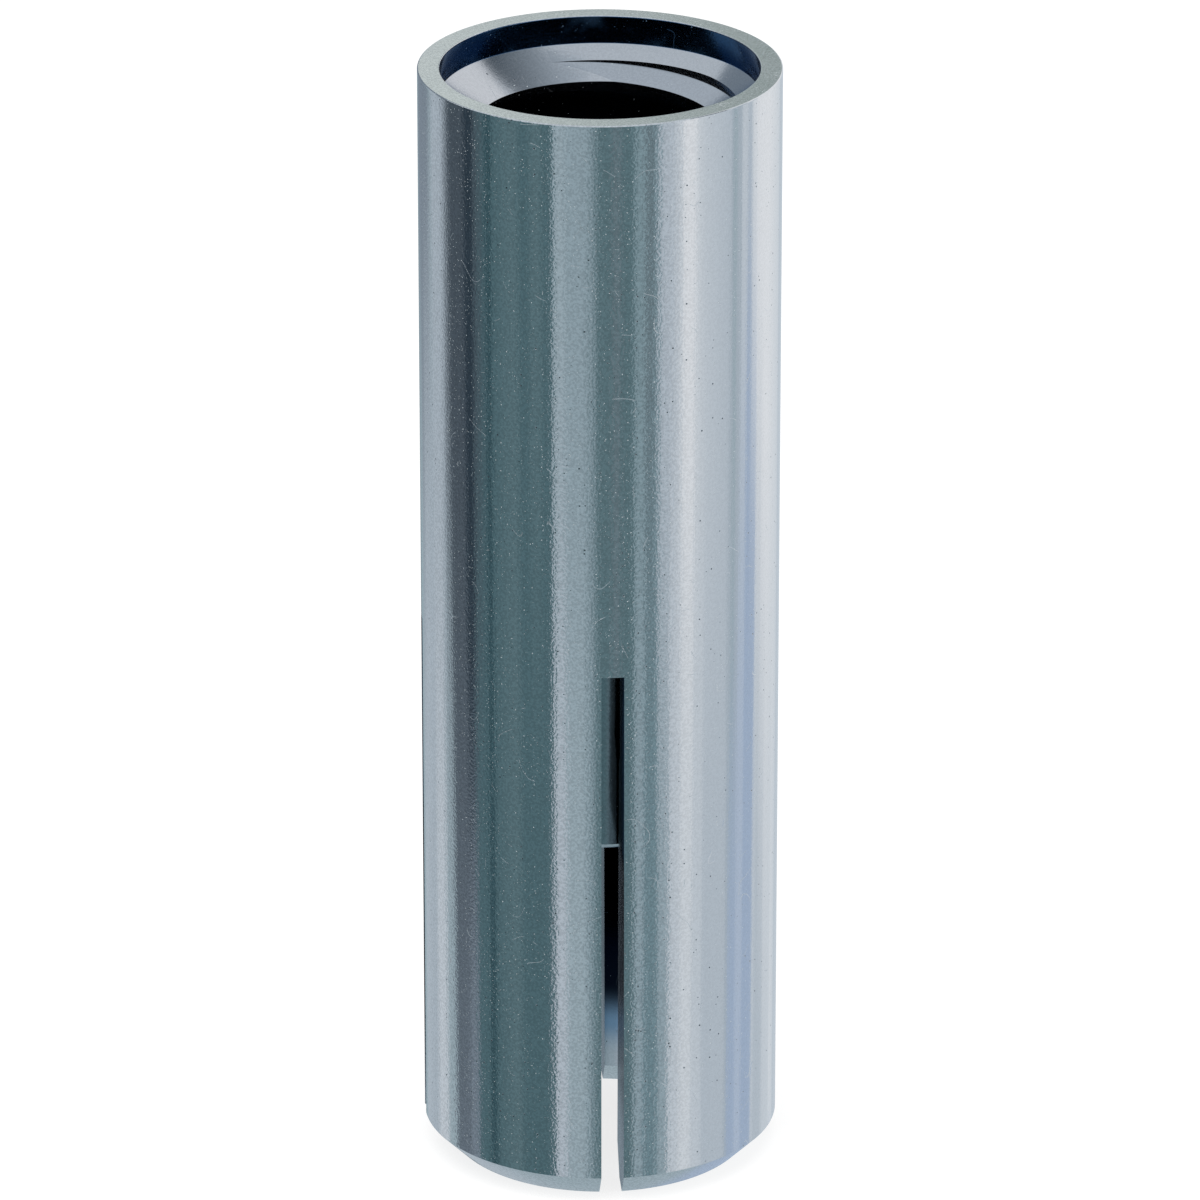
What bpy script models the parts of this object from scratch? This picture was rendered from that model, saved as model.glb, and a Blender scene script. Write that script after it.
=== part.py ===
"""Drop-in anchor: an internally threaded sleeve with four slots, and the plug that expands it.

Metres, +Z up. The anchor stands on its slotted foot, with the origin on its axis in the foot's plane.
The slots lie on the X and Y axes. The sleeve is one turned piece, sawn four times from the foot up.
The plug waits wedged in the top of the tapered bore inside, and is driven down it in use.
"""

import math

import bmesh
import bpy
from mathutils import Matrix, Vector

# Driving dimensions of the sleeve's outside, and of its wall round the threaded socket
SLEEVE_LENGTH = 0.0508
SLEEVE_RADIUS = 0.0079375
SOCKET_WALL = 0.00263
FOOT_OUTER_CHAMFER = 0.00125

# Driving dimensions of the mouth, from the rim down
RIM_WIDTH = 0.00097
COUNTERBORE_DEPTH = 0.00126
LEAD_IN_DEPTH = 0.00122

# Driving dimensions of the expansion bore: the shoulder steps in from the socket, then the bore tapers
SHOULDER_HEIGHT = 0.0199
SHOULDER_RISE = 0.0008
SHOULDER_WIDTH = 0.00055
TAPER_NARROWING = 0.00075
FOOT_INNER_CHAMFER = 0.00125

# Driving dimensions of the slots
SLOT_COUNT = 4
SLOT_WIDTH = 0.0010
SLOT_LENGTH = 0.0254

# Driving dimensions of the plug, whose nose reaches below the shoulder
PLUG_NOSE_DEPTH = 0.00426
PLUG_LENGTH = 0.01216
PLUG_EDGE_CHAMFER = 0.00026
PLUG_CLEARANCE = 0.0003

# Fineness of the turned surfaces
TURNED_SEGMENTS = 72
SHARP_ANGLE = math.radians(20)
MERGE_DISTANCE = 1e-7

# How far a cutter reaches past the metal that it cuts
CUTTER_MARGIN = 0.001

# Radii that follow: the socket, and the tapered bore under the shoulder and at its mouth
SOCKET_RADIUS = SLEEVE_RADIUS - SOCKET_WALL
TAPER_TOP_RADIUS = SOCKET_RADIUS - SHOULDER_WIDTH
TAPER_MOUTH_RADIUS = TAPER_TOP_RADIUS - TAPER_NARROWING

# Finishes: colour, metallic and roughness
ZINC_PLATE = ((0.62, 0.66, 0.68, 1.0), 1.0, 0.30)
PLUG_STEEL = ((0.36, 0.42, 0.45, 1.0), 1.0, 0.38)


def clear_scene():
    """Remove every object that the file starts with."""
    for old in list(bpy.data.objects):
        bpy.data.objects.remove(old, do_unlink=True)


def make_material(name, finish):
    """Return a Principled BSDF material with a finish's colour, metallic value and roughness."""
    colour, metallic, roughness = finish
    material = bpy.data.materials.new(name)
    material.use_nodes = True
    shader = material.node_tree.nodes["Principled BSDF"]
    shader.inputs["Base Color"].default_value = colour
    shader.inputs["Metallic"].default_value = metallic
    shader.inputs["Roughness"].default_value = roughness
    material.diffuse_color = colour
    return material


def link_object(name, bm, material=None):
    """Turn a bmesh into a smooth-shaded object with sharp edges, and link it to the scene."""
    mesh = bpy.data.meshes.new(name)
    bm.to_mesh(mesh)
    bm.free()
    mesh.shade_smooth()
    mesh.set_sharp_from_angle(angle=SHARP_ANGLE)
    if material is not None:
        mesh.materials.append(material)
    piece = bpy.data.objects.new(name, mesh)
    bpy.context.scene.collection.objects.link(piece)
    return piece


def spin_profile(profile, closed):
    """Spin a profile of (radius, height) points once round the Z axis.

    A closed profile gives a ring. An open one gives a shell whose two open ends are capped flat.
    """
    bm = bmesh.new()
    points = [bm.verts.new((radius, 0.0, height)) for radius, height in profile]
    edges = [bm.edges.new(pair) for pair in zip(points, points[1:])]
    if closed:
        edges.append(bm.edges.new((points[-1], points[0])))
    bmesh.ops.spin(
        bm,
        geom=points + edges,
        axis=(0.0, 0.0, 1.0),
        cent=(0.0, 0.0, 0.0),
        angle=math.tau,
        steps=TURNED_SEGMENTS,
        use_merge=True,
    )
    bmesh.ops.remove_doubles(bm, verts=bm.verts, dist=MERGE_DISTANCE)
    if not closed:
        rims = [edge for edge in bm.edges if edge.is_boundary]
        bmesh.ops.holes_fill(bm, edges=rims, sides=0)
    bmesh.ops.recalc_face_normals(bm, faces=bm.faces)
    return bm


def bore_radius(height):
    """Radius of the tapered expansion bore at a height below the shoulder."""
    share = (height - FOOT_INNER_CHAMFER) / (SHOULDER_HEIGHT - FOOT_INNER_CHAMFER)
    return TAPER_MOUTH_RADIUS + share * (TAPER_TOP_RADIUS - TAPER_MOUTH_RADIUS)


def sleeve_profile():
    """Half section of the sleeve: down its outside, across the foot and up the bore."""
    counterbore_radius = SLEEVE_RADIUS - RIM_WIDTH
    counterbore_floor = SLEEVE_LENGTH - COUNTERBORE_DEPTH
    return [
        (SLEEVE_RADIUS, SLEEVE_LENGTH),
        (SLEEVE_RADIUS, FOOT_OUTER_CHAMFER),
        (SLEEVE_RADIUS - FOOT_OUTER_CHAMFER, 0.0),
        (TAPER_MOUTH_RADIUS + FOOT_INNER_CHAMFER, 0.0),
        (TAPER_MOUTH_RADIUS, FOOT_INNER_CHAMFER),
        (TAPER_TOP_RADIUS, SHOULDER_HEIGHT),
        (SOCKET_RADIUS, SHOULDER_HEIGHT + SHOULDER_RISE),
        (SOCKET_RADIUS, counterbore_floor - LEAD_IN_DEPTH),
        (counterbore_radius, counterbore_floor),
        (counterbore_radius, SLEEVE_LENGTH),
    ]


def make_slot_cutter():
    """One blade for each slot, from inside the bore to past the outside, as a single cutter."""
    inner = TAPER_MOUTH_RADIUS / 2.0
    outer = SLEEVE_RADIUS + CUTTER_MARGIN
    bottom = -CUTTER_MARGIN
    size = Vector((outer - inner, SLOT_WIDTH, SLOT_LENGTH - bottom))
    centre = Vector(((inner + outer) / 2.0, 0.0, (SLOT_LENGTH + bottom) / 2.0))
    bm = bmesh.new()
    for index in range(SLOT_COUNT):
        turn = Matrix.Rotation(math.tau * index / SLOT_COUNT, 4, "Z")
        place = turn @ Matrix.Translation(centre) @ Matrix.Diagonal((*size, 1.0))
        bmesh.ops.create_cube(bm, size=1.0, matrix=place)
    cutter = link_object("slot_cutter", bm)
    cutter.hide_render = True
    cutter.display_type = "WIRE"
    return cutter


def make_sleeve(material):
    """Turn the sleeve and saw its slots."""
    bm = spin_profile(sleeve_profile(), closed=True)
    sleeve = link_object("anchor_sleeve", bm, material)
    saw = sleeve.modifiers.new("slots", "BOOLEAN")
    saw.operation = "DIFFERENCE"
    saw.solver = "EXACT"
    saw.object = make_slot_cutter()
    return sleeve


def plug_radius(height):
    """Radius of the plug's side at a height: the clearance inside the bore's taper, carried on upwards."""
    return bore_radius(height) - PLUG_CLEARANCE


def plug_profile():
    """Half section of the plug: one long taper that matches the bore's, with both edges chamfered."""
    bottom = SHOULDER_HEIGHT - PLUG_NOSE_DEPTH
    top = bottom + PLUG_LENGTH
    upper = plug_radius(top - PLUG_EDGE_CHAMFER)
    lower = plug_radius(bottom + PLUG_EDGE_CHAMFER)
    return [
        (upper - PLUG_EDGE_CHAMFER, top),
        (upper, top - PLUG_EDGE_CHAMFER),
        (lower, bottom + PLUG_EDGE_CHAMFER),
        (lower - PLUG_EDGE_CHAMFER, bottom),
    ]


def make_plug(material):
    """Turn the plug in its place in the sleeve's tapered bore."""
    bm = spin_profile(plug_profile(), closed=False)
    return link_object("expander_plug", bm, material)


def main():
    """Build both pieces."""
    clear_scene()
    make_sleeve(make_material("zinc_plate", ZINC_PLATE))
    make_plug(make_material("plug_steel", PLUG_STEEL))


main()
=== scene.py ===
"""Drop-in anchor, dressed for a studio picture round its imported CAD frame.

Metres, +Z up, in the frame's own axes: the anchor stands on its slotted foot and the slots lie on the
X and Y axes. Two pieces are rebuilt finer than their solids: the sleeve, with its tapped thread, and
the expander plug that waits inside it. Both get plated and turned steel finishes.
"""

import logging
import math
from dataclasses import dataclass
from enum import Enum, IntEnum

import bmesh
import bpy
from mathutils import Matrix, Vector


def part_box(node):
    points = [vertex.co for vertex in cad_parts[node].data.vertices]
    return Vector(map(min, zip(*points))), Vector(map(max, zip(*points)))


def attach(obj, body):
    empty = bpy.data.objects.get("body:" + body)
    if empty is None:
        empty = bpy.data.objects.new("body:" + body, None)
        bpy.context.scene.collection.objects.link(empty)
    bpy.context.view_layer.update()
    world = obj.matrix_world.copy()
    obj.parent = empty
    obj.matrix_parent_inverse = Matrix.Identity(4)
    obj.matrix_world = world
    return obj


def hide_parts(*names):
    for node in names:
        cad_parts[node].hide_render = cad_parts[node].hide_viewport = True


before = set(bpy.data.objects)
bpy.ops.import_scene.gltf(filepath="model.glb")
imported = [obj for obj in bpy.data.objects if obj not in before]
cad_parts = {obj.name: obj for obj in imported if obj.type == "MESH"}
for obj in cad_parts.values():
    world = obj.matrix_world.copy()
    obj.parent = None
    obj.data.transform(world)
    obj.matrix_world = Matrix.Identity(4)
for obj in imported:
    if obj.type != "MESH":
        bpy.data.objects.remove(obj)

LOG = logging.getLogger("anchor")

MM = 1e-3
INCH = 25.4 * MM
MICRON = 1e-6
MERGE_DISTANCE = 1e-8
SHARP_ANGLE = math.radians(10)
BODY = "root"
CUT_BY = "cut_by"
TONE = "tone"
VECTOR_PORT = "NodeSocketVector"
GEOMETRY_PORT = "NodeSocketGeometry"
NUMBER_PORTS = {float: "NodeSocketFloat", int: "NodeSocketInt"}
SPOT_PORTS = {"Height": 0.0, "Mask": 0.0}
MESH_PORTS = {"Mesh": GEOMETRY_PORT}
LATHE_PORTS = {"Profile": GEOMETRY_PORT, "Radius": 8.0 * MM, "Segments": 96}

Colour = tuple[float, float, float, float]
Point = tuple[float, float]
Span = tuple[float, float]
Tree = bpy.types.NodeTree
Socket = bpy.types.NodeSocket
Outputs = bpy.types.bpy_prop_collection
Value = float | int | bool | str | tuple | Socket | bpy.types.ID
Inputs = dict[str | int, Value]
Looks = list[tuple[bpy.types.Material, Socket | bool]]
Finishes = dict[str, bpy.types.Material]


# Node trees


class Kind(Enum):
    """What a node tree makes."""

    SHADER = "ShaderNodeTree"
    GEOMETRY = "GeometryNodeTree"


class Graph:
    """Adds nodes to one node tree and joins them up."""

    def __init__(self, tree: Tree) -> None:
        """Work on a shader or geometry tree."""
        self.tree = tree

    def add(self, kind: str, inputs: Inputs | None = None, **settings: object) -> bpy.types.Node:
        """Add a node, set its properties and feed its inputs.

        Args:
            kind: The node's type name.
            inputs: A value, or another node's output, for each input by name or number.
            **settings: Properties of the node itself.

        Returns:
            The new node.
        """
        node = self.tree.nodes.new(kind)
        for name, setting in settings.items():
            setattr(node, name, setting)
        for name, value in (inputs or {}).items():
            self.feed(self.find_input(node, name), value)
        return node

    def feed(self, socket: Socket, value: Value) -> None:
        """Link an output to a socket, or set the socket's own value.

        Args:
            socket: The input that is fed.
            value: Another node's output, or a plain value.
        """
        if isinstance(value, bpy.types.NodeSocket):
            self.tree.links.new(value, socket)
        else:
            socket.default_value = value

    @staticmethod
    def find_input(node: bpy.types.Node, name: str | int) -> Socket:
        """Return a node's enabled input of a name, or the input at a number.

        Args:
            node: The node.
            name: The input's name or number.

        Returns:
            The input.
        """
        if isinstance(name, int):
            return node.inputs[name]
        return next(socket for socket in node.inputs if socket.name == name and socket.enabled)

    def math(self, operation: str, *values: Value) -> Socket:
        """Add a Math node and return its output."""
        return self.add("ShaderNodeMath", dict(enumerate(values)), operation=operation).outputs[0]

    def ramp(
        self, value: Socket, low: float, high: float, low_out: float = 0.0, high_out: float = 1.0
    ) -> Socket:
        """Map a range of a value smoothly to another range, clamped at both ends.

        Args:
            value: The output that is mapped.
            low: Value that gives low_out.
            high: Value that gives high_out.
            low_out: Result at and below the low end.
            high_out: Result at and above the high end.

        Returns:
            The mapped output.
        """
        sockets = {"Value": value, "From Min": low, "From Max": high, "To Min": low_out, "To Max": high_out}
        return self.add("ShaderNodeMapRange", sockets, interpolation_type="SMOOTHSTEP").outputs["Result"]

    def noise(self, place: Value, scale: Value, detail: float) -> Socket:
        """Add a noise texture and return its value."""
        sockets = {"Vector": place, "Scale": scale, "Detail": detail}
        return self.add("ShaderNodeTexNoise", sockets).outputs["Fac"]

    def blend(self, share: Value, first: Value, second: Value) -> Socket:
        """Mix two colours by the second one's share."""
        return self.add("ShaderNodeMix", {"Factor": share, 6: first, 7: second}, data_type="RGBA").outputs[2]

    def split(self, vector: Value) -> Outputs:
        """Split a vector and return its X, Y and Z outputs."""
        return self.add("ShaderNodeSeparateXYZ", {"Vector": vector}).outputs

    def join(self, **parts: Value) -> Socket:
        """Join X, Y and Z to a vector, with 0 for a part that isn't given."""
        return self.add("ShaderNodeCombineXYZ", parts).outputs[0]

    def off_axis(self, place: Outputs) -> Socket:
        """Return how far a split position lies from the Z axis."""
        level = self.join(X=place["X"], Y=place["Y"])
        return self.add("ShaderNodeVectorMath", {0: level}, operation="LENGTH").outputs["Value"]

    def moved(self, geometry: Socket, **changes: Value) -> Socket:
        """Move, turn or scale a geometry by the Transform inputs of those names."""
        return self.add("GeometryNodeTransform", {"Geometry": geometry, **changes}).outputs[0]

    def group(self, tree: Tree, inputs: Inputs) -> Outputs:
        """Place a node group of this tree's own kind, feed its inputs and return its outputs."""
        kind = self.tree.bl_idname.replace("NodeTree", "NodeGroup")
        return self.add(kind, inputs, node_tree=tree).outputs


def empty_graph(owner: bpy.types.Material | bpy.types.World) -> Graph:
    """Give a material or a world an empty node tree.

    Args:
        owner: The material or world.

    Returns:
        A graph on its tree.
    """
    owner.use_nodes = True
    owner.node_tree.nodes.clear()
    return Graph(owner.node_tree)


def new_group(
    name: str, kind: Kind, inputs: dict[str, float | int | str], outputs: dict[str, float | str]
) -> tuple[Graph, dict[str, Socket]]:
    """Make an empty node group with a named interface.

    Args:
        name: The group's name.
        kind: What it makes.
        inputs: For each input, in order, its number to start with or its socket type.
        outputs: The same for each output.

    Returns:
        A graph on the group, and the outputs of its Group Input node by name.
    """
    tree = bpy.data.node_groups.new(name, kind.value)
    for direction, ports in (("INPUT", inputs), ("OUTPUT", outputs)):
        for port, start in ports.items():
            port_type = start if isinstance(start, str) else NUMBER_PORTS[type(start)]
            socket = tree.interface.new_socket(port, in_out=direction, socket_type=port_type)
            if port_type != start:
                socket.default_value = start
    given = tree.nodes.new("NodeGroupInput")
    return Graph(tree), {socket.name: socket for socket in given.outputs if socket.name}


def set_modifier_input(modifier: bpy.types.Modifier, name: str, value: Value) -> None:
    """Set a Geometry Nodes modifier's input through its identifier.

    Args:
        modifier: The modifier.
        name: The input's name, by which its identifier is found.
        value: The value.
    """
    items = modifier.node_group.interface.items_tree
    item = next(entry for entry in items if entry.in_out == "INPUT" and entry.name == name)
    modifier[item.identifier] = value


def add_object(name: str, data: bpy.types.ID) -> bpy.types.Object:
    """Make an object and put it into the scene.

    Args:
        name: The object's name.
        data: Its mesh, camera or light.

    Returns:
        The object.
    """
    made = bpy.data.objects.new(name, data)
    bpy.context.scene.collection.objects.link(made)
    return made


def keep_mesh(name: str, bm: bmesh.types.BMesh) -> bpy.types.Mesh:
    """Write an edited mesh to a new mesh, and free it.

    Args:
        name: The new mesh's name.
        bm: The edited mesh.

    Returns:
        The new mesh.
    """
    mesh = bpy.data.meshes.new(name)
    bm.to_mesh(mesh)
    bm.free()
    return mesh


def bake_piece(name: str, start: bpy.types.Mesh, tree: Tree, sizes: Inputs) -> bpy.types.Object:
    """Run a Geometry Nodes tree on a mesh and keep its result as a plain mesh object.

    Args:
        name: Name of the finished piece.
        start: Mesh that the tree starts from.
        tree: The Geometry Nodes tree.
        sizes: Value for each of the tree's named inputs.

    Returns:
        The finished object, at the origin and with no modifier.
    """
    piece = add_object(name, start)
    modifier = piece.modifiers.new("build", "NODES")
    modifier.node_group = tree
    for size_name, value in sizes.items():
        set_modifier_input(modifier, size_name, value)
    evaluated = piece.evaluated_get(bpy.context.evaluated_depsgraph_get())
    mesh = bpy.data.meshes.new_from_object(evaluated)
    piece.modifiers.remove(modifier)
    piece.data = mesh
    mesh.name = name
    bpy.data.meshes.remove(start)
    mesh.set_sharp_from_angle(angle=SHARP_ANGLE)
    return piece


# Surface effects shared by the finishes


class SurfaceEffects:
    """Shader node groups that more than one finish uses. Heights come out in microns."""

    def __init__(self) -> None:
        """Build each group once."""
        self.grain = self.build_grain()
        self.pits = self.build_pits()
        self.scratches = self.build_scratches()
        self.tool_lines = self.build_tool_lines()

    @staticmethod
    def build_grain() -> Tree:
        """Build the fine crystalline grain of zinc plate, with faint lines drawn along the axis.

        Returns:
            The tree.
        """
        inputs = {"Vector": VECTOR_PORT, "Grain Height": 1.0, "Line Height": 1.0}
        outputs = {"Height": 0.0, "Crystals": 0.0, "Mottle": 0.0}
        graph, given = new_group("plate_grain", Kind.SHADER, inputs, outputs)
        crystals = graph.noise(given["Vector"], scale=9000.0, detail=1.0)
        drawn = graph.add("ShaderNodeMapping", {"Vector": given["Vector"], "Scale": (1.0, 1.0, 0.012)})
        lines = graph.noise(drawn.outputs[0], scale=2600.0, detail=3.0)
        height = graph.math(
            "ADD",
            graph.math("MULTIPLY", crystals, given["Grain Height"]),
            graph.math("MULTIPLY", lines, given["Line Height"]),
        )
        mottle = graph.noise(given["Vector"], scale=420.0, detail=3.0)
        graph.add("NodeGroupOutput", {"Height": height, "Crystals": crystals, "Mottle": mottle})
        return graph.tree

    @staticmethod
    def build_pits() -> Tree:
        """Build small round spots in loose clusters, with a mask of where they are. They sink by Depth.

        Returns:
            The tree.
        """
        inputs = {"Vector": VECTOR_PORT, "Scale": 1500.0, "Size": 0.1, "Share": 0.5, "Depth": 1.0}
        graph, given = new_group("plate_pits", Kind.SHADER, inputs, SPOT_PORTS)
        sockets = {"Vector": given["Vector"], "Scale": given["Scale"]}
        cells = graph.add("ShaderNodeTexVoronoi", sockets).outputs
        number = graph.add("ShaderNodeSeparateColor", {"Color": cells["Color"]}).outputs
        crowding = graph.ramp(graph.noise(given["Vector"], scale=330.0, detail=2.0), 0.4, 0.62, 0.4, 1.0)
        present = graph.math("LESS_THAN", number["Red"], graph.math("MULTIPLY", given["Share"], crowding))
        spread = graph.math("MULTIPLY_ADD", number["Green"], 0.7, 0.3)
        reach = graph.math("MULTIPLY", spread, given["Size"])
        nearness = graph.math("SUBTRACT", 1.0, graph.math("DIVIDE", cells["Distance"], reach))
        mask = graph.math("MULTIPLY", graph.ramp(nearness, 0.0, 1.0), present)
        depth = graph.math("MULTIPLY", mask, given["Depth"])
        sunk = graph.math("MULTIPLY", depth, graph.math("MULTIPLY", spread, -1.0))
        graph.add("NodeGroupOutput", {"Height": sunk, "Mask": mask})
        return graph.tree

    @staticmethod
    def build_scratches() -> Tree:
        """Build short thin curved scratches from the contour lines of a noise, broken up by a patchy mask.

        Returns:
            The tree.
        """
        inputs = {"Vector": VECTOR_PORT, "Scale": 500.0, "Width": 0.01, "Share": 0.5, "Depth": 1.0}
        graph, given = new_group("handling_scratches", Kind.SHADER, inputs, SPOT_PORTS)
        hills = graph.noise(given["Vector"], scale=given["Scale"], detail=0.0)
        away = graph.math("ABSOLUTE", graph.math("SUBTRACT", hills, 0.56))
        line = graph.ramp(graph.math("DIVIDE", away, given["Width"]), 0.4, 1.0, 1.0, 0.0)
        limit = graph.math("SUBTRACT", 1.0, given["Share"])
        broken = graph.math("GREATER_THAN", graph.noise(given["Vector"], scale=1100.0, detail=0.0), limit)
        mask = graph.math("MULTIPLY", line, broken)
        sunk = graph.math("MULTIPLY", graph.math("MULTIPLY", mask, given["Depth"]), -1.0)
        graph.add("NodeGroupOutput", {"Height": sunk, "Mask": mask})
        return graph.tree

    @staticmethod
    def build_tool_lines() -> Tree:
        """Build the parallel lines that a cutting tool leaves, along whichever distance is fed in.

        Returns:
            The tree.
        """
        inputs = {"Distance": 0.0, "Scale": 9000.0, "Depth": 1.0}
        graph, given = new_group("tool_lines", Kind.SHADER, inputs, {"Height": 0.0})
        lines = graph.add(
            "ShaderNodeTexNoise",
            {"W": given["Distance"], "Scale": given["Scale"], "Detail": 3.0, "Roughness": 0.6},
            noise_dimensions="1D",
        )
        graph.add("NodeGroupOutput", {"Height": graph.math("MULTIPLY", lines.outputs["Fac"], given["Depth"])})
        return graph.tree


# Finishes


class Lay(Enum):
    """Which way the tool lines of a finish run, as the distance that they are counted along."""

    ROUND_FACE = "radius"
    ROUND_WALL = "height"
    UP_THE_SLOT = "depth"


@dataclass(frozen=True)
class PaintedDepthShade:
    """Painted shade inside the hollows: the colour darkens towards a dark shade colour from one height to
    another at the foot, and lightens back from one height to another at the mouth.

    Half way there it has the tint's colour, a painted blue glint, where there is one.
    """

    foot_from: float
    foot_to: float
    mouth_from: float | None = None
    mouth_to: float | None = None
    # Colour of the painted shade deep inside.
    shade_colour: Colour = (0.07, 0.08, 0.10, 1.0)
    # Colour half way into the painted shade: a painted blue glint.
    tint: Colour | None = None


SMOOTHER_FROM_X = (1.5 * MM, 4.5 * MM)
DUSTY_UP_TO_X = (-5.7 * MM, -4.7 * MM)
SAW_LINE_SLOPE = 0.35


@dataclass(frozen=True)
class SteelFinish:
    """A steel finish: its colour and gloss, and how strong each surface effect is. Depths are in microns.

    Between the two heights in shielded, where there are any, the steel turns dull beside the plug. The
    grain is weaker by smoother_side from SMOOTHER_FROM_X on, and dust is as thick as dusty_side says up to
    DUSTY_UP_TO_X.
    """

    name: str
    colour: Colour
    roughness: float
    lay: Lay
    tool_depth: float
    grain_height: float = 1.0
    line_height: float = 0.0
    speck_share: float = 0.4
    dust_share: float = 0.4
    dusty_side: float = 0.5
    stains: float = 0.0
    pit_share: float = 0.2
    pit_depth: float = 10.0
    scratch_depth: float = 1.0
    scuffing: float = 0.2
    mottling: float = 0.08
    gloss_range: Span = (0.92, 1.1)
    crust_roughness: float = 0.5
    smoother_side: float = 1.0
    specular: float = 0.5
    # Painted shade deep inside the hollows, where the finish has any.
    depth_shade: PaintedDepthShade | None = None
    shielded: Span | None = None
    dullness: Span = (0.1, 0.85)
    dull_roughness: float = 0.35
    dirt: Colour = (0.07, 0.08, 0.09, 1.0)
    crust: Colour = (0.50, 0.56, 0.58, 1.0)

    def build(self, effects: SurfaceEffects) -> bpy.types.Material:
        """Build the material.

        Args:
            effects: The shared surface effects.

        Returns:
            The finished material.
        """
        material = bpy.data.materials.new(self.name)
        graph = empty_graph(material)
        place = graph.add("ShaderNodeTexCoord").outputs["Object"]
        parts = graph.split(place)
        coarse = graph.ramp(parts["X"], *SMOOTHER_FROM_X, 1.0, self.smoother_side)
        grain = graph.group(
            effects.grain,
            {
                "Vector": place,
                "Grain Height": graph.math("MULTIPLY", coarse, self.grain_height),
                "Line Height": self.line_height,
            },
        )
        specks, dust, pits = (
            graph.group(
                effects.pits, {"Vector": place, "Scale": scale, "Size": size, "Share": share, "Depth": depth}
            )
            for scale, size, share, depth in (
                (5200.0, 0.23, self.speck_share, -1.0),
                (9000.0, 0.3, self.dust_share, 0.0),
                (3200.0, 0.18, self.pit_share, self.pit_depth),
            )
        )
        scratches = graph.group(
            effects.scratches,
            {"Vector": place, "Scale": 620.0, "Width": 0.0045, "Share": 0.345, "Depth": self.scratch_depth},
        )
        tool = graph.group(
            effects.tool_lines,
            {"Distance": self.lay_distance(graph, parts), "Scale": 9000.0, "Depth": self.tool_depth},
        )
        height = grain["Height"]
        for effect in (specks, pits, scratches, tool):
            height = graph.math("ADD", height, effect["Height"])
        bump = graph.add("ShaderNodeBump", {"Height": height, "Distance": MICRON, "Strength": 1.0})
        scuffed = graph.math("MULTIPLY", scratches["Mask"], self.scuffing)
        settled = graph.ramp(parts["X"], *DUSTY_UP_TO_X, self.dusty_side, 0.5)
        dusted = graph.math("MULTIPLY", dust["Mask"], settled)
        crusted = graph.math("MAXIMUM", graph.math("MAXIMUM", specks["Mask"], scuffed), dusted)
        stained = graph.ramp(grain["Mottle"], 0.52, 0.72, 0.0, self.stains)
        crusted = graph.math("MAXIMUM", graph.ramp(crusted, 0.0, 0.8), stained)
        crystals = graph.math("MULTIPLY", graph.ramp(grain["Crystals"], 0.38, 0.62), coarse)
        # The base colour, darkened by painted shade deep inside where the finish has it.
        plate = self.plate_and_shade_colour(graph, crystals, self.depth_shading(graph, parts["Z"]))
        soiled = graph.ramp(pits["Mask"], 0.0, 0.5)
        colour = graph.blend(soiled, graph.blend(crusted, plate, self.crust), self.dirt)
        gloss = graph.ramp(grain["Mottle"], 0.3, 0.7, *(self.roughness * part for part in self.gloss_range))
        rough = graph.math("MULTIPLY_ADD", crusted, self.crust_roughness, gloss)
        metallic = graph.math("SUBTRACT", 1.0, crusted)
        if self.shielded is not None:
            dull = graph.ramp(parts["Z"], *self.shielded, *self.dullness)
            rough = graph.math("MULTIPLY_ADD", dull, self.dull_roughness, rough)
            metallic = graph.math("MULTIPLY", metallic, graph.math("SUBTRACT", 1.0, dull))
        shader = graph.add(
            "ShaderNodeBsdfPrincipled",
            {
                "Base Color": colour,
                "Metallic": metallic,
                "Specular IOR Level": self.specular,
                "Roughness": rough,
                "Normal": bump.outputs[0],
            },
        )
        graph.add("ShaderNodeOutputMaterial", {"Surface": shader.outputs[0]})
        material.diffuse_color = self.colour
        return material

    def depth_shading(self, graph: Graph, height: Socket) -> Value:
        """Return how far the painted shade has darkened the colour at a height.

        Args:
            graph: The material's graph.
            height: The height above the foot.

        Returns:
            An output from 0 to 1, or 0 for a finish without painted shade.
        """
        if self.depth_shade is None:
            return 0.0
        shade_share = graph.ramp(height, self.depth_shade.foot_from, self.depth_shade.foot_to)
        if self.depth_shade.mouth_to is None:
            return shade_share
        deep = graph.ramp(height, self.depth_shade.mouth_from, self.depth_shade.mouth_to, 1.0, 0.0)
        return graph.math("MULTIPLY", shade_share, deep)

    def plate_and_shade_colour(self, graph: Graph, crystals: Socket, shade_share: Value) -> Value:
        """Return the base colour: a little darker on half of the crystals, and darkened by painted shade deep
        inside.

        Args:
            graph: The material's graph.
            crystals: How dull each crystal is, from 0 to 1.
            shade_share: How far the painted shade has darkened the colour, from 0 to 1.

        Returns:
            A colour output.
        """
        shade = 1.0 - 2.0 * self.mottling
        layers = [(crystals, (*(part * shade for part in self.colour[:3]), 1.0))]
        # Painted shade: the colour darkens to the shade colour deep inside, passing through the tint (a
        # painted glint) where there is one.
        if self.depth_shade is not None:
            shade_from = 0.0
            if self.depth_shade.tint is not None:
                shade_from = 0.5
                layers.append((graph.ramp(shade_share, 0.0, shade_from), self.depth_shade.tint))
            layers.append((graph.ramp(shade_share, shade_from, 1.0), self.depth_shade.shade_colour))
        plate: Value = self.colour
        for share, colour in layers:
            plate = graph.blend(share, plate, colour)
        return plate

    def lay_distance(self, graph: Graph, parts: Outputs) -> Socket:
        """Return the distance that the tool lines are counted along.

        Args:
            graph: The material's graph.
            parts: The object coordinates, split.

        Returns:
            An output in metres: the distance from the axis, or the height.
        """
        if self.lay is Lay.ROUND_WALL:
            return parts["Z"]
        radius = graph.off_axis(parts)
        if self.lay is Lay.ROUND_FACE:
            return radius
        return graph.math("MULTIPLY_ADD", radius, SAW_LINE_SLOPE, parts["Z"])


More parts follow.
